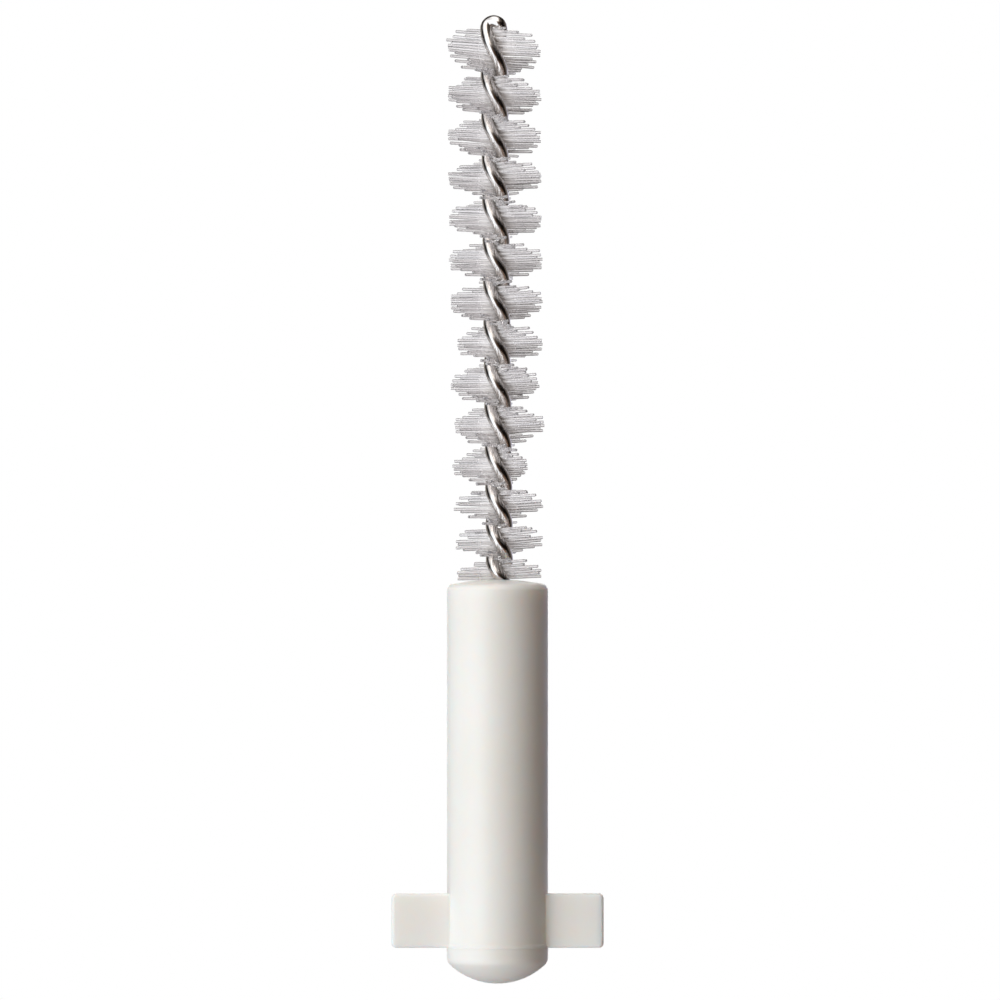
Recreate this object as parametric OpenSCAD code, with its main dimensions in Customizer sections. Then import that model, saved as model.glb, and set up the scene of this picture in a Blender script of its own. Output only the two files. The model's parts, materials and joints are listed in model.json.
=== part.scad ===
// Interdental brush refill: a moulded hub with two wings, a folded and twisted
// wire core, and bristle filaments clamped crosswise between the wire's two legs.
// Millimetres, +Z up along the brush. A handle slides down over the bristles and the
// shank and stops on the wings, so the origin is on the shank's axis, level with the
// wings' upper faces. The wings lie along X.

/* [Hub] */
// Diameter of the shank that the handle takes
hub_d = 2.5; // [2:0.05:3]
// Height of the hub from its foot to the top of its crowned upper face
hub_h = 10; // [8:0.1:14]
// Height of the domed foot, up to where the straight side starts
dome_h = 0.58; // [0.4:0.02:0.8]
// Radius of the corner between the dome and the straight side
foot_r = 0.1; // [0.05:0.01:0.2]
// Height of the crowned upper face, down to where the straight side starts
crown_h = 0.25; // [0.21:0.01:0.4]
// Radius of the rounded rim of the upper face
rim_r = 0.14; // [0.08:0.01:0.18]
// Draft: how much further out the hub stands at the mould's parting line
draft = 0.01; // [0.005:0.005:0.03]
// Height above the wings at which the draft ends and the true round shank starts
root_h = 0.05; // [0.02:0.01:0.2]

/* [Wings] */
// Overall span of the two wings
wing_span = 5.25; // [4.4:0.05:7]
// Height of a wing along the brush
wing_h = 1.34; // [1:0.02:2]
// Thickness of a wing from front to back
wing_t = 0.8; // [0.5:0.05:1.2]
// Height of the foot below the wings, which ends where the mould halves part
foot_h = 0.89; // [0.85:0.01:1.4]
// Radius of a wing's outer corners, seen from the front
wing_corner_r = 0.13; // [0.09:0.01:0.25]
// Radius of a wing's front and back edges
wing_edge_r = 0.12; // [0.03:0.01:0.2]
// Height that the flash on the mould's parting line stands proud
flash_h = 0.015; // [0.01:0.005:0.03]
// Width of the flash line
flash_w = 0.08; // [0.03:0.01:0.12]

/* [Wire core] */
// Diameter of the wire
wire_d = 0.3; // [0.24:0.01:0.36]
// Gap between the two legs, which the filaments fill
leg_gap = 0.08; // [0.07:0.005:0.12]
// Depth of the wire's lower ends below the hub's upper face
embed_depth = 6; // [4:0.1:7]

/* [Twist] */
// Half turns of the bristled twist, one for each row of bristles
rows = 14; // [8:1:16]
// Height of one half turn in the even part of the twist
half_turn_h = 1.02; // [0.9:0.01:1.3]
// Share by which the half turns are shorter at the hub
tight_share = 0.25; // [0.05:0.01:0.35]
// Half turns over which that shortening fades out
tight_turns = 4; // [2:1:6]
// Share by which the last half turns are longer at the tip
loose_share = 0.15; // [0:0.01:0.3]
// Half turns over which that lengthening builds up
loose_turns = 2; // [1:1:4]
// Depth below the hub's upper face at which the first row's half turn starts
first_turn_depth = 0.3; // [0:0.02:0.5]

/* [Bristles] */
// Overall diameter of the bristles
brush_d = 2.37; // [1.6:0.01:2.8]
// Thickness of one filament
bristle_d = 0.05; // [0.04:0.001:0.056]
// Spacing of the filaments along the brush
bristle_pitch = 0.062; // [0.058:0.001:0.08]
// Most that a filament's end falls short of the trimmed diameter
trim_loss = 0.06; // [0:0.01:0.12]
// Angle that the filaments fan to each side of the twist
fan = 15; // [0:1:18]
// Half width of the packed filaments between the legs
pack_half_w = 0.22; // [0.15:0.01:0.3]
// Clearance between the packed filaments and the hub, and below the end loop
pack_clear = 0.01; // [0.005:0.005:0.03]

/* [Hidden] */
hub_r = hub_d / 2;
leg_r = (wire_d + leg_gap) / 2;
// Steps of each rounded corner, and of the dome and the crown
corner_steps = 4;
dome_steps = 6;
// Sides of the wire's section, and steps of half a turn of the wire where it shows and
// inside the hub
wire_sides = 8;
turn_steps = 6;
embed_turn_steps = 4;
// Sides of a filament's section
bristle_sides = 3;
// Steps of half a turn of the packed filaments, and of the table of twist heights
pack_steps = 3;
table_steps = 32;
// Shares of the brush radius that a row reaches to the left and to the right, and
// the share of the full count of filaments that it holds, from the hub to the tip
row_shares = [
    [0.91, 0.90, 0.90], [0.94, 0.93, 0.65], [0.95, 0.94, 0.62], [0.97, 0.62, 1],
    [0.93, 0.97, 1], [0.99, 0.88, 1], [0.85, 0.98, 0.9], [0.99, 0.97, 1],
    [1, 0.98, 1], [1, 0.97, 1], [1, 0.98, 1], [1, 0.97, 1], [0.99, 0.98, 1], [1, 0.98, 1]];
// Steps of two even sequences that spread the fan and the trimming without a pattern
fan_step_share = 0.618034;
trim_step_share = 0.754878;

// Heights of the foot's lowest point, the parting line, the hub's upper face and the
// start of the twist, from the wings' upper faces
foot_z = -wing_h - foot_h;
parting_z = -wing_h;
face_z = foot_z + hub_h;
twist_z = face_z - first_turn_depth;
embed_turns = (embed_depth - first_turn_depth) / (half_turn_h * (1 - tight_share));

function row_name(k) = str("bristle_row_", k < 10 ? "0" : "", k);

function unit(v) = v / norm(v);
function part_of_one(x) = x - floor(x);

// Height at which the twist has made a number of half turns. Below the hub's face
// the count is negative, and the half turns keep the shortened height.
function twist_height(turns) =
    let (tight = min(max(turns, 0), tight_turns),
         loose = max(turns - (rows - loose_turns), 0))
    twist_z + half_turn_h * (turns
        - tight_share * (turns < 0 ? turns : tight - tight * tight / (2 * tight_turns))
        + loose_share * loose * loose / (2 * loose_turns));

// Height of one half turn at that place, which is the slope of twist_height
function half_turn_at(turns) =
    half_turn_h * (1 - tight_share * max(1 - max(turns, 0) / tight_turns, 0)
        + loose_share * max(turns - (rows - loose_turns), 0) / loose_turns);

// Half turns made at a given height
function turns_at(z) =
    lookup(z, [for (i = [-table_steps:rows * table_steps]) let (turns = i / table_steps)
        [twist_height(turns), turns]]);

tip_z = twist_height(rows);
pack_start = turns_at(face_z + pack_clear);
pack_end = turns_at(tip_z - pack_clear);

// A station along the wire: [point, direction, unit vector away from the axis]. The
// twist is left-handed, and the legs stand left and right at the end loop.
function leg_station(turns, side) =
    let (a = 180 * (1 + rows - turns + side))
    [[leg_r * cos(a), leg_r * sin(a), twist_height(turns)],
     [PI * leg_r * sin(a), -PI * leg_r * cos(a), half_turn_at(turns)],
     [cos(a), sin(a), 0]];

// The end loop leans out of its plane as it turns over, so that it leaves and meets
// the legs at the slope of their twist.
function loop_station(a) =
    let (lean = PI * leg_r * leg_r / (2 * half_turn_at(rows)))
    [[-leg_r * cos(a), lean * sin(2 * a), tip_z + leg_r * sin(a)],
     [leg_r * sin(a), 2 * lean * cos(2 * a), leg_r * cos(a)],
     [-cos(a), 0, sin(a)]];

function leg(side) =
    let (embed_steps = ceil(embed_turns * embed_turn_steps))
    concat(
        [for (i = [embed_steps:-1:1]) leg_station(-embed_turns * i / embed_steps, side)],
        [for (i = [0:rows * turn_steps]) leg_station(i / turn_steps, side)]);

function reversed(list) = [for (i = [len(list) - 1:-1:0]) list[i]];
function turned_round(stations) =
    [for (s = reversed(stations)) [s[0], -s[1], s[2]]];

left_leg = leg(0);
right_leg = leg(1);
loop_steps = 2 * turn_steps;
end_loop = [for (i = [1:loop_steps - 1]) loop_station(180 * i / loop_steps)];

// Ring of points round a station, square to the wire
function wire_ring(station) =
    let (u = station[2], v = cross(unit(station[1]), u))
    [for (i = [0:wire_sides - 1]) let (a = 360 * i / wire_sides)
        station[0] + wire_d / 2 * (cos(a) * u + sin(a) * v)];

// Closed skin over a row of rings that all have the same number of points
module skin(rings) {
    n = len(rings[0]);
    last = len(rings) - 1;
    polyhedron(
        points = [for (ring = rings, p = ring) p],
        faces = concat(
            [[for (j = [0:n - 1]) j]],
            [[for (j = [n - 1:-1:0]) last * n + j]],
            [for (i = [0:last - 1], j = [0:n - 1])
                [i * n + j, (i + 1) * n + j, (i + 1) * n + (j + 1) % n]],
            [for (i = [0:last - 1], j = [0:n - 1])
                [i * n + j, (i + 1) * n + (j + 1) % n, i * n + (j + 1) % n]]));
}

module wire(stations) {
    skin([for (s = stations) wire_ring(s)]);
}

// Domed end of a round bar of radius r: points from the axis out to the straight
// side, which starts at height h, with a corner of radius c between dome and side.
function domed_end(r, h, c) =
    let (big = (pow(r - c, 2) + h * h - c * c) / (2 * (h - c)),
         join = asin((r - c) / (big - c)))
    concat(
        [for (i = [0:dome_steps]) let (a = join * i / dome_steps)
            [big * sin(a), big - big * cos(a)]],
        [for (i = [1:corner_steps]) let (a = join + (90 - join) * i / corner_steps)
            [r - c + c * sin(a), h - c * cos(a)]]);

module shank() {
    rotate_extrude($fn = 96)
        polygon(concat(
            [for (p = domed_end(hub_r, dome_h, foot_r)) [p[0], foot_z + p[1]]],
            [[hub_r + draft, parting_z - flash_w / 2],
             [hub_r + draft + flash_h, parting_z],
             [hub_r + draft, parting_z + flash_w / 2],
             [hub_r, root_h]],
            [for (p = reversed(domed_end(hub_r, crown_h, rim_r))) [p[0], face_z - p[1]]]));
}

function rounded_corner(x, y, r, from) =
    [for (i = [0:corner_steps]) let (a = from + 90 * i / corner_steps)
        [x + r * cos(a), y + r * sin(a)]];

module rounded_rectangle(w, h, r) {
    x = w / 2 - r;
    y = h / 2 - r;
    polygon(concat(
        rounded_corner(x, y, r, 0), rounded_corner(-x, y, r, 90),
        rounded_corner(-x, -y, r, 180), rounded_corner(x, -y, r, 270)));
}

// One bar makes both wings. Its front, plan and end outlines round all its edges.
module wing_bar() {
    translate([0, 0, -wing_h / 2])
        intersection() {
            rotate([90, 0, 0])
                linear_extrude(wing_t, center = true)
                    rounded_rectangle(wing_span, wing_h, wing_corner_r);
            linear_extrude(wing_h, center = true)
                rounded_rectangle(wing_span, wing_t, wing_edge_r);
            rotate([90, 0, 90])
                linear_extrude(wing_span, center = true)
                    rounded_rectangle(wing_t, wing_h, wing_edge_r);
        }
}

// The plastic is moulded round the wire, so the socket is the wire's own shape. Each
// leg is cut as far as the first half turn that clears the hub's upper face.
module hub() {
    cut_stations = [for (s = [0:len(left_leg) - 1])
        if (left_leg[s][0][2] < face_z + half_turn_h) s];
    color("ivory")
        difference() {
            union() {
                shank();
                wing_bar();
            }
            wire([for (s = cut_stations) left_leg[s]]);
            wire([for (s = cut_stations) right_leg[s]]);
        }
}

// One wire: up the left leg, over the end loop and down the right leg
module wire_core() {
    color("silver")
        wire(concat(left_leg, end_loop, turned_round(right_leg)));
}

// Direction of the filaments in row k, from straight back to straight front
function bristle_angle(turns, k) = 180 * (k - 1 / 2 - turns);

function pack_ring(turns, k) =
    let (a = bristle_angle(turns, k), along = [cos(a), sin(a), 0], across = [-sin(a), cos(a), 0])
    [for (c = [[1, 1], [-1, 1], [-1, -1], [1, -1]])
        [0, 0, twist_height(turns)] + c[0] * pack_half_w * along + c[1] * bristle_d / 2 * across];

function row_start(k) = max(k - 1, pack_start);
function row_end(k) = min(k, pack_end);
function row_share(k) = row_shares[(k - 1) % len(row_shares)];
function row_count(k) = max(2, round(row_share(k)[2]
    * (twist_height(row_end(k)) - twist_height(row_start(k))) / bristle_pitch));
function bristle_turns(k, i) =
    row_start(k) + (row_end(k) - row_start(k)) * (i + 1 / 2) / row_count(k);

// One filament, which passes between the legs and reaches out to both sides. Its
// section is a triangle as high as the filament is thick, with a flat side up.
module bristle(turns, k, i) {
    left = brush_d / 2 * row_share(k)[0] - trim_loss * part_of_one(i * trim_step_share);
    right = brush_d / 2 * row_share(k)[1] - trim_loss * part_of_one((i + k) * trim_step_share);
    spread = fan * (2 * part_of_one((i + k) * fan_step_share) - 1);
    translate([0, 0, twist_height(turns)])
        rotate([0, 0, bristle_angle(turns, k) + spread])
            translate([-left, 0, 0])
                rotate([0, 90, 0])
                    cylinder(left + right, r = bristle_d * 2 / 3, $fn = bristle_sides);
}

// A row is half a turn of filaments, pressed side by side where the legs clamp them
module bristle_row(k) {
    from = row_start(k);
    to = row_end(k);
    color("ghostwhite") {
        skin([for (s = [0:pack_steps]) pack_ring(from + (to - from) * s / pack_steps, k)]);
        for (i = [0:row_count(k) - 1]) bristle(bristle_turns(k, i), k, i);
    }
}

// Least gap between the wire's legs, measured from every station to every other, and
// least gap between one filament and the next
function leg_to_leg() =
    min([for (a = left_leg, b = right_leg) norm(a[0] - b[0])]) - wire_d;
function filament_to_filament() =
    min([for (k = [1:rows], i = [1:row_count(k) - 1])
        twist_height(bristle_turns(k, i)) - twist_height(bristle_turns(k, i - 1))]) - bristle_d;
function total(list) = list * [for (item = list) 1];
union() {
    echo(leg_to_leg = leg_to_leg());
    echo(filament_to_filament = filament_to_filament());
    echo(filament_ends = 2 * total([for (k = [1:rows]) row_count(k)]));
}

hub();
wire_core();
for (k = [1:rows])
    bristle_row(k);
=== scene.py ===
"""The look of an interdental brush refill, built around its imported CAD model.

Shapes are modelled in millimetres and brought into the frame, which is in metres, as
each one is finished. X runs along the wings, Z up the brush, and the camera looks
along +Y.
"""

import json
import math
import random

import bmesh
import bpy
from mathutils import Matrix, Vector


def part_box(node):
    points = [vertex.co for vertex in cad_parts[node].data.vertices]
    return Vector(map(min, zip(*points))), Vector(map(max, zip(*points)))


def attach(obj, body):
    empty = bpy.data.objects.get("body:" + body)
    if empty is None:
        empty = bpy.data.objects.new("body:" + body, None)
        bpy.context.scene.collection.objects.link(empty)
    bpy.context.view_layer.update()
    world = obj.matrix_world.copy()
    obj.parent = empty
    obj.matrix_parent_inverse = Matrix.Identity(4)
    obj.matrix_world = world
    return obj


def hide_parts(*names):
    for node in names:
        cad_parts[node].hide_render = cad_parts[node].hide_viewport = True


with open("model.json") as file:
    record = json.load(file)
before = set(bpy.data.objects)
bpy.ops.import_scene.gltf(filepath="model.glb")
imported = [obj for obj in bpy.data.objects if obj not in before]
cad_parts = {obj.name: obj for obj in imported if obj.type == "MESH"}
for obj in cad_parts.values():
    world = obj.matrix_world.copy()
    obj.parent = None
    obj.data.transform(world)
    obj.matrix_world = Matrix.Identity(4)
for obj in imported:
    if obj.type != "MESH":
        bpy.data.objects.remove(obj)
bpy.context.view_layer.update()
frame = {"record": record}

MM = 0.001

# Hub, from the CAD model's box and its shank mount
hub_low, hub_high = (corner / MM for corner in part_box("hub"))
shank_mount = next(m for m in frame["record"]["mounts"] if m["name"] == "shank")
HUB_R = shank_mount["dims"]["r_mm"]
FOOT_Z = hub_low.z
FACE_Z = hub_high.z
WING_SPAN = hub_high.x - hub_low.x
# Its other sizes are the CAD source's, but for the dome, the crown and the corners,
# which follow the photograph
DOME_H = 0.64
FOOT_R = 0.24
CROWN_H = 0.275
RIM_R = 0.17
DRAFT = 0.01
ROOT_H = 0.05
WING_H = 1.34
WING_T = 0.8
WING_CORNER_R = 0.12
WING_EDGE_R = 0.07
FLASH_H = 0.015
FLASH_W = 0.08
# The flash stands as a flat band, whose lower edge is level with the wings' undersides.
# It rises and falls over a step in height, and its corners are taken off by the bevel
FLASH_STEP = 0.012
FLASH_BEVEL = 0.004
# Faces along the hub's outline and round it, and the angle in degrees from which an
# edge is shown as sharp
DOME_STEPS = 16
CORNER_STEPS = 8
SIDE_STEPS = 12
ROUND_STEPS = 128
HUB_SHARP = 38

# Wire and twist, as in the CAD source
WIRE_D = 0.3
LEG_GAP = 0.08
EMBED_DEPTH = 6
ROWS = 14
HALF_TURN_H = 1.02
TIGHT_SHARE = 0.25
TIGHT_TURNS = 4
LOOSE_SHARE = 0.15
LOOSE_TURNS = 2
# The first row's half turn starts this far below the hub's face
TWIST_DEPTH = 0.3
LEG_R = (WIRE_D + LEG_GAP) / 2
TWIST_Z = FACE_Z - TWIST_DEPTH
TOP_TURN_H = HALF_TURN_H * (1 + LOOSE_SHARE)
EMBED_TURNS = (EMBED_DEPTH - TWIST_DEPTH) / (HALF_TURN_H * (1 - TIGHT_SHARE))
# The wire stands a little out of true: it leans to the left by this much per
# millimetre of height, about the height where it crosses the hub's axis
LEAN = 0.0107
LEAN_Z = 12.8
# Points along the wire: in the hub, in each half turn and round the end loop
EMBED_STEPS = 90
TURN_STEPS = 28
LOOP_STEPS = 40

# Filaments
BRUSH_R = 2.37 / 2
FILAMENT_D = 0.074
# Number in a full row, and degrees by which they fan out to each side of it
FULL_ROW = 20
FAN = 20
# The fan is filled in the order of the golden ratio, from another start in each row
GOLDEN = 0.618034
FAN_START = 0.37
# Near each neck, where the legs lie side by side, more filaments stand in a wider fan
NECK_SHARE = 0.2
NECK_FILL = 0.22
NECK_FAN = 22
# Degrees by which both ends of a filament stand up
LIFT = 1.2
# Stray of a filament: its place in the row, across the gap between the legs, its
# trimmed length, sag, and degrees sideways and up
PLACE_STRAY = 0.15
GAP_STRAY = 0.012
TRIM_LOSS = 0.045
SAG = 0.006
SIDE_STRAY = 3
LIFT_STRAY = 0.5
# A few ends stray further
WILD_SHARE = 0.05
WILD_SIDE = 9
WILD_LIFT = 2.5
# Under the end loop the filaments turn by only this share of the twist
TIP_TURNS = 0.45
TIP_SHARE = 0.65
# The lowest row starts this far above the hub, and the top one ends this far above
# the twist
FIRST_RISE = 0.01
LAST_RISE = 0.03
# Places from a filament's middle to its rounded end, its thickness at each, and the
# angle from which an edge is shown as sharp
PLACES = (0.3, 0.65, 0.975, 0.993, 1.0)
THICKNESS = (1, 1, 1, 0.95, 0.8)
FILAMENT_SHARP = 70
# Each row's random strays start from this number and its own
SEED = 40
# Reach to the left and to the right, fullness, and degrees of tilt of each row, from
# hub to tip
ROW_FORMS = [
    (0.91, 0.90, 0.85, -2), (0.94, 0.93, 0.74, -2.5), (0.95, 0.94, 0.72, -2),
    (0.97, 0.62, 1, -1), (0.93, 0.97, 1, -1.5), (0.99, 0.88, 1, -1.5),
    (0.85, 0.98, 0.9, 0), (0.99, 0.97, 1, -1), (1, 0.98, 1, -0.5), (1, 0.97, 1, 1),
    (1, 0.98, 1, -1), (1, 0.97, 1, 1.5), (0.99, 0.98, 1, 2.5), (1, 0.98, 0.75, 4)]

# The photograph's frame: its width at the object, and its middle
VIEW_W = 24.74
VIEW_X = 0.062
VIEW_Z = 9.734
LENS = 900
SENSOR = 36

# Floor: its radius, its distance below the foot, and how far out it starts to fade and
# has faded to nothing
FLOOR_R = 28
FLOOR_DROP = 1.2
FADE_START = 12
FADE_END = 27.5

# Colour, azimuth, elevation, inner and outer angle and strength of each soft panel of
# light. Azimuth 0 is behind the camera, and 90 is to the right
PANELS = [
    ((1, 0.95, 0.88), -135, 0, 10, 30, 0.4),
    ((1, 1, 1), -100, -30, 8, 26, 0.8),
    ((0.865, 0.932, 1), -45, 0, 10, 30, 2.04),
    ((1, 0.5, 0.2), -15, 0, 10, 30, 0.1),
    ((0.71, 0.75, 1), 146, 0, 8, 28, 0.75),
    ((0.964, 0.98, 1), -38, 48, 20, 42, 1.34),
    ((0.865, 0.937, 1), -45, -48, 18, 42, 1.93),
    ((1, 1, 0.94), -30, 28, 8, 26, 0.31),
    ((1, 0.86, 0.73), -15, 45, 10, 30, 0.84),
    ((1, 0.85, 0.7), 25, 58, 15, 40, 0.12),
    ((1, 0.56, 0.3), 25, -60, 22, 46, 0.26),
    ((1, 0.88, 0.76), 118, 5, 10, 40, 0.2),
    ((1, 0.99, 0.98), -60, 80, 10, 34, 1.2),
    ((1, 0.98, 0.94), 180, 5, 8, 25, 2.2)]
# The dim room beyond them
DIM_COLOUR = (1, 0.6, 0.5)
DIM_STRENGTH = 0.005
WHITE = (1, 1, 1)
# The white backdrop stands all round the brush. Seen through a filament it fades out
# upwards and downwards, between these sines of the angle from the level
BACKDROP_FADE = (0.25, 0.5)
# Number of filament faces that light has come through when the first of it is
# scattered, and when all of it is
SCATTER_FACES = (3, 7)


def twist_height(turns):
    """Height at which the twist has made a number of half turns."""
    tight = min(max(turns, 0), TIGHT_TURNS)
    loose = max(turns - (ROWS - LOOSE_TURNS), 0)
    shortening = turns if turns < 0 else tight - tight * tight / (2 * TIGHT_TURNS)
    return TWIST_Z + HALF_TURN_H * (
        turns - TIGHT_SHARE * shortening + LOOSE_SHARE * loose * loose / (2 * LOOSE_TURNS))


def turns_at(z):
    """Half turns made at a given height, found by halving the range 40 times."""
    low, high = -EMBED_TURNS, ROWS + 1
    for _ in range(40):
        middle = (low + high) / 2
        if twist_height(middle) < z:
            low = middle
        else:
            high = middle
    return low


TIP_Z = twist_height(ROWS)


def leaned(point):
    """A point of the upright wire or a filament, with the wire's lean."""
    return Vector((point[0] - LEAN * (point[2] - LEAN_Z), point[1], point[2]))


def finished(name, mesh, material, slot, *nodes):
    """Makes the mesh, which is in millimetres, a piece that stands for those nodes."""
    mesh.name = name
    mesh.transform(Matrix.Scale(MM, 4))
    mesh.materials.clear()
    mesh.materials.append(material)
    piece = bpy.data.objects.new(name, mesh)
    bpy.context.scene.collection.objects.link(piece)
    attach(piece, "root")
    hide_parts(*nodes)


def mesh_of(source):
    """The finished mesh of an object with its modifiers, after which it's removed."""
    bpy.context.scene.collection.objects.link(source)
    depsgraph = bpy.context.evaluated_depsgraph_get()
    mesh = bpy.data.meshes.new_from_object(
        source.evaluated_get(depsgraph), depsgraph=depsgraph)
    bpy.data.objects.remove(source)
    return mesh


# Materials


class Nodes:
    """A node tree, whose nodes take plain values or what other nodes put out."""

    def __init__(self, tree):
        self.tree = tree

    def feed(self, socket, value):
        """Links the socket to another node's output, or sets it to a plain value."""
        if isinstance(value, bpy.types.NodeSocket):
            self.tree.links.new(value, socket)
        else:
            socket.default_value = value

    def node(self, kind, inputs=None, **settings):
        made = self.tree.nodes.new(kind)
        for key, value in settings.items():
            setattr(made, key, value)
        for key, value in (inputs or {}).items():
            self.feed(made.inputs[key], value)
        return made

    def maths(self, operation, *values):
        """What a Math node makes of the values."""
        made = self.node("ShaderNodeMath", dict(enumerate(values)), operation=operation)
        return made.outputs["Value"]

    def spread(self, value, low, high, start=0.0, end=1.0, curve="LINEAR"):
        """A value that runs from start to end, brought to the range from low to high."""
        made = self.node("ShaderNodeMapRange", {
            "Value": value, "From Min": start, "From Max": end,
            "To Min": low, "To Max": high}, interpolation_type=curve)
        return made.outputs["Result"]


class Finish(Nodes):
    """A material's nodes, with a Principled shader to set."""

    def __init__(self, name):
        self.material = bpy.data.materials.new(name)
        self.material.use_nodes = True
        super().__init__(self.material.node_tree)
        self.shader = self.tree.nodes["Principled BSDF"]
        self.place = self.node("ShaderNodeTexCoord").outputs["Object"]

    def set(self, **values):
        """Sets the shader's inputs, which are named with _ for each space."""
        for key, value in values.items():
            self.feed(self.shader.inputs[key.replace("_", " ")], value)

    def noise(self, vector, scale, detail=2.0, roughness=0.5):
        made = self.node("ShaderNodeTexNoise", {
            "Vector": vector, "Scale": scale, "Detail": detail, "Roughness": roughness})
        return made.outputs["Fac"]

    def from_axis(self):
        """Distance from the brush's axis."""
        flat = self.node(
            "ShaderNodeVectorMath", {0: self.place, 1: (1, 1, 0)}, operation="MULTIPLY")
        out = self.node(
            "ShaderNodeVectorMath", {0: flat.outputs["Vector"]}, operation="LENGTH")
        return out.outputs["Value"]

    def ramp(self, factor, *stops):
        """Colours along a factor, from (place, colour) stops."""
        made = self.node("ShaderNodeValToRGB", {"Fac": factor})
        for point, (place, colour) in zip(made.color_ramp.elements, stops):
            point.position = place
            point.color = (*colour, 1)
        return made.outputs["Color"]

    def bump(self, height, distance, normal=None):
        """A normal with relief, on top of another one if it's given."""
        inputs = {"Height": height, "Distance": distance, "Strength": 1.0}
        if normal is not None:
            inputs["Normal"] = normal
        return self.node("ShaderNodeBump", inputs).outputs["Normal"]


def ivory_plastic():
    """Satin moulded plastic, which lets a little light through."""
    finish = Finish("ivory_plastic")
    clouds = finish.noise(finish.place, scale=420, detail=3)
    grain = finish.noise(finish.place, scale=26000, detail=3, roughness=0.6)
    waves = finish.noise(finish.place, scale=1500)
    fine = finish.bump(grain, distance=0.0000012)
    finish.set(
        Base_Color=finish.ramp(
            clouds, (0.3, (0.855, 0.838, 0.79)), (0.7, (0.88, 0.868, 0.83))),
        Roughness=finish.spread(waves, 0.34, 0.46), IOR=1.5, Subsurface_Weight=1.0,
        Subsurface_Radius=(1.0, 0.76, 0.64), Subsurface_Scale=0.00045,
        Normal=finish.bump(waves, distance=0.000004, normal=fine))
    return finish.material


def steel_wire():
    """Drawn stainless wire: fine lines run along it, with small dings."""
    finish = Finish("steel_wire")
    along = finish.node("ShaderNodeUVMap", uv_map="UVMap").outputs["UV"]
    stretched = finish.node("ShaderNodeMapping", {"Vector": along, "Scale": (22, 7, 1)})
    lines = finish.noise(stretched.outputs["Vector"], scale=1.0, detail=4, roughness=0.6)
    dings = finish.noise(finish.place, scale=3500)
    fine = finish.bump(lines, distance=0.0000035)
    finish.set(
        Base_Color=finish.ramp(
            lines, (0.3, (0.56, 0.525, 0.5)), (0.7, (0.74, 0.705, 0.68))),
        Metallic=1.0, Roughness=finish.spread(lines, 0.12, 0.24),
        Normal=finish.bump(dings, distance=0.000006, normal=fine))
    return finish.material


def nylon_filament():
    """Clear nylon, painted paler and made cloudier near the wire, which lightens the
    shaded masses of filaments there.
    """
    finish = Finish("nylon_filament")
    clouds = finish.noise(finish.place, scale=2600)
    scuffs = finish.noise(finish.place, scale=30000)
    # Painted paleness: towards the wire the filaments get a paler colour and less
    # clearness, which lightens their shaded masses. The noise adds a random unevenness of
    # tone.
    clear = finish.spread(finish.from_axis(), 0.0, 1.0, start=0.2 * MM, end=0.55 * MM)
    painted_pale_and_uneven = finish.maths("ADD", clear, finish.spread(clouds, -0.2, 0.2))
    shadow = finish.node("ShaderNodeLightPath").outputs["Is Shadow Ray"]
    finish.set(
        Base_Color=finish.ramp(
            painted_pale_and_uneven, (0, (0.87, 0.85, 0.842)), (1, (0.82, 0.8, 0.806))),
        Roughness=finish.spread(scuffs, 0.02, 0.1), IOR=1.53,
        Transmission_Weight=finish.spread(painted_pale_and_uneven, 0.3, 0.85),
        Alpha=finish.spread(shadow, 1.0, 0.1),
        Normal=finish.bump(scuffs, distance=0.000001))
    return finish.material


# Hub


def domed_end(r, h, corner):
    """The outline of a bar's domed end: from the axis out to the straight side."""
    big = ((r - corner) ** 2 + h * h - corner * corner) / (2 * (h - corner))
    join = math.asin((r - corner) / (big - corner))
    outline = []
    for i in range(DOME_STEPS + 1):
        a = join * i / DOME_STEPS
        outline.append((big * math.sin(a), big - big * math.cos(a)))
    for i in range(1, CORNER_STEPS + 1):
        a = join + (math.pi / 2 - join) * i / CORNER_STEPS
        outline.append((r - corner + corner * math.sin(a), h - corner * math.cos(a)))
    return outline


def shank():
    """The hub without its wings, turned from its outline."""
    drafted = HUB_R + DRAFT
    proud = drafted + FLASH_H
    flash_top = -WING_H + FLASH_W
    side_h = FACE_Z - CROWN_H - ROOT_H
    outline = [(x, FOOT_Z + z) for x, z in domed_end(HUB_R, DOME_H, FOOT_R)]
    outline += [
        (drafted - FLASH_BEVEL, -WING_H - FLASH_STEP),
        (proud - FLASH_BEVEL, -WING_H),
        (proud, -WING_H + FLASH_STEP),
        (proud, flash_top - FLASH_STEP),
        (proud - FLASH_BEVEL, flash_top),
        (drafted, flash_top + FLASH_STEP)]
    outline += [(drafted - DRAFT * share, flash_top + (ROOT_H - flash_top) * share)
                for share in (0.25, 0.5, 0.75, 1)]
    outline += [(HUB_R, ROOT_H + side_h * i / SIDE_STEPS) for i in range(1, SIDE_STEPS)]
    outline += [(x, FACE_Z - z) for x, z in reversed(domed_end(HUB_R, CROWN_H, RIM_R))]
    bm = bmesh.new()
    points = [bm.verts.new((x, 0, z)) for x, z in outline]
    edges = [bm.edges.new(pair) for pair in zip(points, points[1:])]
    bmesh.ops.spin(
        bm, geom=points + edges, cent=(0, 0, 0), axis=(0, 0, 1), angle=2 * math.pi,
        steps=ROUND_STEPS, use_merge=True)
    bmesh.ops.remove_doubles(bm, verts=bm.verts, dist=0.0005)
    bmesh.ops.recalc_face_normals(bm, faces=bm.faces)
    return bm


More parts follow.
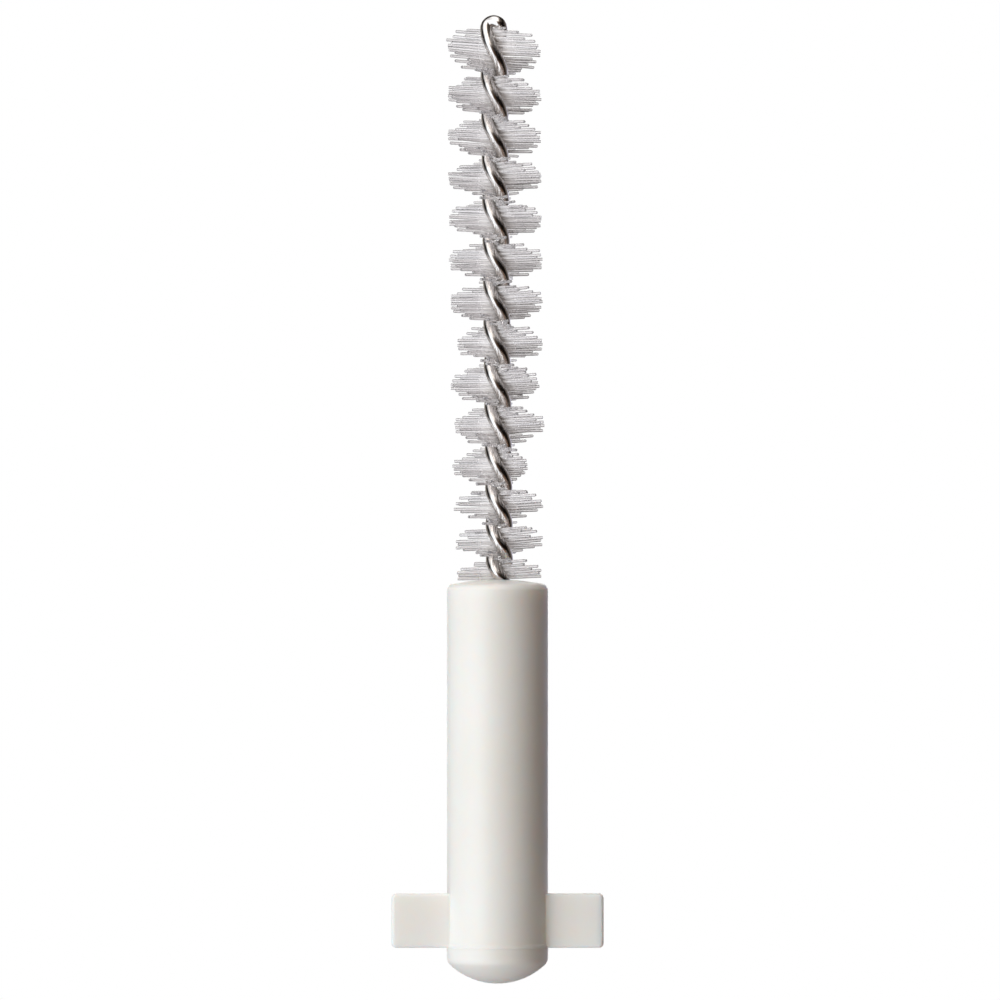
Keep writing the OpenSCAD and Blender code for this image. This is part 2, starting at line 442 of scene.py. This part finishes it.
def wing_bar():
    """Both wings as one bar, with rounded corners and finely rounded edges."""
    bm = bmesh.new()
    bmesh.ops.create_cube(bm, size=1)
    bmesh.ops.scale(bm, vec=(WING_SPAN, WING_T, WING_H), verts=bm.verts)
    bmesh.ops.translate(bm, vec=(0, 0, -WING_H / 2), verts=bm.verts)

    def runs_through(edge):
        return abs(edge.verts[0].co.y - edge.verts[1].co.y) > WING_T / 2

    def rounded(edges, radius, segments):
        bmesh.ops.bevel(
            bm, geom=edges, offset=radius, offset_type="OFFSET", segments=segments,
            profile=0.5, affect="EDGES", material=-1)

    rounded([e for e in bm.edges if runs_through(e)], WING_CORNER_R, segments=8)
    rounded([e for e in bm.edges if not runs_through(e)], WING_EDGE_R, segments=6)
    return bm


def hub():
    """Shank and wings joined, with smooth sides and crisp joins."""
    bodies = []
    for name, bm in (("shank_form", shank()), ("wing_form", wing_bar())):
        mesh = bpy.data.meshes.new(name)
        bm.to_mesh(mesh)
        bm.free()
        bodies.append(bpy.data.objects.new(name, mesh))
    whole, wings = bodies
    bpy.context.scene.collection.objects.link(wings)
    join = whole.modifiers.new("join", "BOOLEAN")
    join.operation = "UNION"
    join.solver = "EXACT"
    join.object = wings
    mesh = mesh_of(whole)
    bpy.data.objects.remove(wings)
    bm = bmesh.new()
    bm.from_mesh(mesh)
    bmesh.ops.remove_doubles(bm, verts=bm.verts, dist=0.0002)
    bmesh.ops.recalc_face_normals(bm, faces=bm.faces)
    bm.to_mesh(mesh)
    bm.free()
    mesh.shade_smooth()
    mesh.set_sharp_from_angle(angle=math.radians(HUB_SHARP))
    shaded = bpy.data.objects.new("shaded_form", mesh)
    weighted = shaded.modifiers.new("even shading", "WEIGHTED_NORMAL")
    weighted.keep_sharp = True
    return mesh_of(shaded)


# Wire


def tube(strands, radius, resolution):
    """Round tubes along strands of (point, share of the radius), with closed ends."""
    line = bpy.data.curves.new("tube", "CURVE")
    line.dimensions = "3D"
    line.bevel_depth = radius
    line.bevel_resolution = resolution
    line.use_fill_caps = True
    for strand in strands:
        spline = line.splines.new("POLY")
        spline.points.add(len(strand) - 1)
        for target, (point, share) in zip(spline.points, strand):
            target.co = (*point, 1)
            target.radius = share
    mesh = mesh_of(bpy.data.objects.new("tube", line))
    mesh.shade_smooth()
    return mesh


def wire_line():
    """The wire's own line: up one leg, over the end loop and down the other leg."""
    turns = [-EMBED_TURNS + EMBED_TURNS * i / EMBED_STEPS for i in range(EMBED_STEPS)]
    turns += [i / TURN_STEPS for i in range(ROWS * TURN_STEPS + 1)]

    def leg(side):
        points = []
        for turn in turns:
            a = math.pi * (1 + ROWS - turn + side)
            points.append((LEG_R * math.cos(a), LEG_R * math.sin(a), twist_height(turn)))
        return points

    # The loop leaves each leg along the leg's own slant
    slant = math.pi * LEG_R * LEG_R / (2 * TOP_TURN_H)
    loop = []
    for i in range(1, LOOP_STEPS):
        a = math.pi * i / LOOP_STEPS
        loop.append((
            -LEG_R * math.cos(a), slant * math.sin(2 * a), TIP_Z + LEG_R * math.sin(a)))
    return leg(0) + loop + leg(1)[::-1]


def wire_mesh():
    """The twisted wire."""
    return tube([[(leaned(point), 1) for point in wire_line()]], WIRE_D / 2, resolution=8)


# Filaments


def filament(rng, turns, row, fan):
    """One filament's line, from its left end through the wire to its right end."""
    left, right, _, tilt = ROW_FORMS[row - 1]
    held_back = (1 - TIP_SHARE) * max(turns - (ROWS - TIP_TURNS), 0)
    base = 180 * (row - 0.5 - turns + held_back)
    across = rng.uniform(-GAP_STRAY, GAP_STRAY)
    middle = Vector((
        -across * math.sin(math.radians(base)), across * math.cos(math.radians(base)),
        twist_height(turns)))
    ends = []
    for side, share in ((-1, left), (1, right)):
        wild = rng.random() < WILD_SHARE
        sideways = base + fan + rng.uniform(-SIDE_STRAY, SIDE_STRAY)
        sideways += rng.uniform(-WILD_SIDE, WILD_SIDE) if wild else 0
        up = LIFT + rng.gauss(0, LIFT_STRAY)
        up += rng.uniform(-WILD_LIFT, WILD_LIFT) if wild else 0
        reach = BRUSH_R * share - rng.uniform(0, TRIM_LOSS)
        angle = math.radians(sideways)
        outward = Vector((
            side * math.cos(angle), side * math.sin(angle), math.tan(math.radians(up))))
        outward.z -= outward.x * math.tan(math.radians(tilt))
        sag = Vector((0, 0, rng.gauss(0, SAG)))
        end = []
        for place, thickness in zip(PLACES, THICKNESS):
            point = middle + outward * reach * place + sag * (4 * place * (1 - place))
            end.append((leaned(point), thickness))
        ends.append(end)
    return ends[0][::-1] + [(leaned(middle), 1)] + ends[1]


def row_mesh(row):
    """All filaments of one row, which fills a half turn of the twist."""
    rng = random.Random(SEED + row)
    start = max(row - 1, turns_at(FACE_Z + FIRST_RISE))
    end = row if row < ROWS else turns_at(TIP_Z + LAST_RISE)
    height = twist_height(end) - twist_height(start)
    count = round(FULL_ROW * ROW_FORMS[row - 1][2] * height / HALF_TURN_H)
    strands = []
    for i in range(count):
        place = (i + 0.5 + rng.uniform(-PLACE_STRAY, PLACE_STRAY)) / count
        fan_share = (i * GOLDEN + row * FAN_START) % 1
        strands.append(filament(
            rng, start + (end - start) * place, row, (2 * fan_share - 1) * FAN))
    for i in range(round(count * NECK_FILL)):
        place = NECK_SHARE * rng.random()
        at_top = i % 2 and row < ROWS
        turns = end - place if at_top else start + place
        strands.append(filament(rng, turns, row, rng.uniform(-NECK_FAN, NECK_FAN)))
    mesh = tube(strands, FILAMENT_D / 2, resolution=2)
    mesh.set_sharp_from_angle(angle=math.radians(FILAMENT_SHARP))
    return mesh


# Studio


def world_light():
    """Soft panels, most of them to the left, weak fills, and a white backdrop."""
    world = bpy.data.worlds.new("studio")
    bpy.context.scene.world = world
    world.use_nodes = True
    world.node_tree.nodes.clear()
    light = Nodes(world.node_tree)
    direction = light.node("ShaderNodeTexCoord").outputs["Generated"]
    path = light.node("ShaderNodeLightPath").outputs

    def panel(azimuth, elevation, inner, outer, strength):
        """Brightness of a soft round panel, which fades from its inner to outer angle."""
        a, e = math.radians(azimuth), math.radians(elevation)
        centre = (math.sin(a) * math.cos(e), -math.cos(a) * math.cos(e), math.sin(e))
        facing = light.node(
            "ShaderNodeVectorMath", {0: direction, 1: centre}, operation="DOT_PRODUCT")
        return light.spread(
            facing.outputs["Value"], 0.0, strength, start=math.cos(math.radians(outer)),
            end=math.cos(math.radians(inner)), curve="SMOOTHSTEP")

    def shining(colour, strength):
        made = light.node(
            "ShaderNodeBackground", {"Color": (*colour, 1), "Strength": strength})
        return made.outputs[0]

    def either(factor, first, second):
        made = light.node("ShaderNodeMixShader", {"Fac": factor, 1: first, 2: second})
        return made.outputs[0]

    lit = shining(DIM_COLOUR, DIM_STRENGTH)
    for colour, *shape in PANELS:
        lit = light.node("ShaderNodeAddShader", {
            0: lit, 1: shining(colour, panel(*shape))}).outputs[0]
    # Through a filament the backdrop is seen, but not in what a shiny face reflects
    straight = light.maths("LESS_THAN", path["Glossy Depth"], 0.5)
    passed = light.maths("MULTIPLY", path["Is Transmission Ray"], straight)
    # What comes through several filaments has been scattered all round the white room
    scattered = light.spread(path["Transmission Depth"], 0.0, 1.0, *SCATTER_FACES)
    height = light.node("ShaderNodeSeparateXYZ", {"Vector": direction}).outputs["Z"]
    slope = light.maths("ABSOLUTE", height)
    level = light.spread(slope, 1.0, 0.0, *BACKDROP_FADE, curve="SMOOTHSTEP")
    backdrop = shining(WHITE, light.maths("MAXIMUM", level, scattered))
    around = either(light.maths("MAXIMUM", passed, scattered), lit, backdrop)
    seen = either(path["Is Camera Ray"], around, shining(WHITE, 1.0))
    light.node("ShaderNodeOutputWorld", {"Surface": seen})


def floor():
    """A pale floor under the brush, which fades out into the white around it."""
    bm = bmesh.new()
    bmesh.ops.create_circle(bm, cap_ends=True, segments=96, radius=FLOOR_R)
    bmesh.ops.translate(bm, vec=(0, 0, FOOT_Z - FLOOR_DROP), verts=bm.verts)
    bmesh.ops.scale(bm, vec=(MM, MM, MM), verts=bm.verts)
    mesh = bpy.data.meshes.new("floor")
    bm.to_mesh(mesh)
    bm.free()
    finish = Finish("pale_floor")
    finish.set(
        Base_Color=(0.9, 0.9, 0.895, 1), Roughness=0.8, Emission_Color=(*WHITE, 1),
        Emission_Strength=0.5)
    fade = finish.spread(
        finish.from_axis(), 0.0, 1.0, start=FADE_END * MM, end=FADE_START * MM,
        curve="SMOOTHSTEP")
    path = finish.node("ShaderNodeLightPath")
    shown = finish.maths("MULTIPLY", path.outputs["Is Camera Ray"], fade)
    clear = finish.node("ShaderNodeBsdfTransparent")
    mixed = finish.node("ShaderNodeMixShader", {
        "Fac": shown, 1: clear.outputs[0], 2: finish.shader.outputs[0]})
    output = finish.tree.nodes["Material Output"]
    finish.feed(output.inputs["Surface"], mixed.outputs[0])
    mesh.materials.append(finish.material)
    ground = bpy.data.objects.new("floor", mesh)
    bpy.context.scene.collection.objects.link(ground)


def camera():
    """A long lens in front, which gives the photograph's small perspective."""
    data = bpy.data.cameras.new("camera")
    data.lens = LENS
    data.sensor_width = SENSOR
    data.clip_start = 0.002
    data.clip_end = 1
    eye = bpy.data.objects.new("camera", data)
    eye.location = (VIEW_X * MM, -VIEW_W * LENS / SENSOR * MM, VIEW_Z * MM)
    eye.rotation_euler = (math.radians(90), 0, 0)
    bpy.context.scene.collection.objects.link(eye)
    bpy.context.scene.camera = eye


camera()
bpy.context.scene.view_settings.view_transform = "Standard"
world_light()
floor()

finished("hub_body", hub(), ivory_plastic(), "ivory_plastic", "hub")
finished("twisted_wire", wire_mesh(), steel_wire(), "steel_wire", "wire_core")
nylon = nylon_filament()
for number in range(1, ROWS + 1):
    finished(
        f"filaments_{number:02d}", row_mesh(number), nylon, "nylon_filament",
        f"bristle_row_{number:02d}")
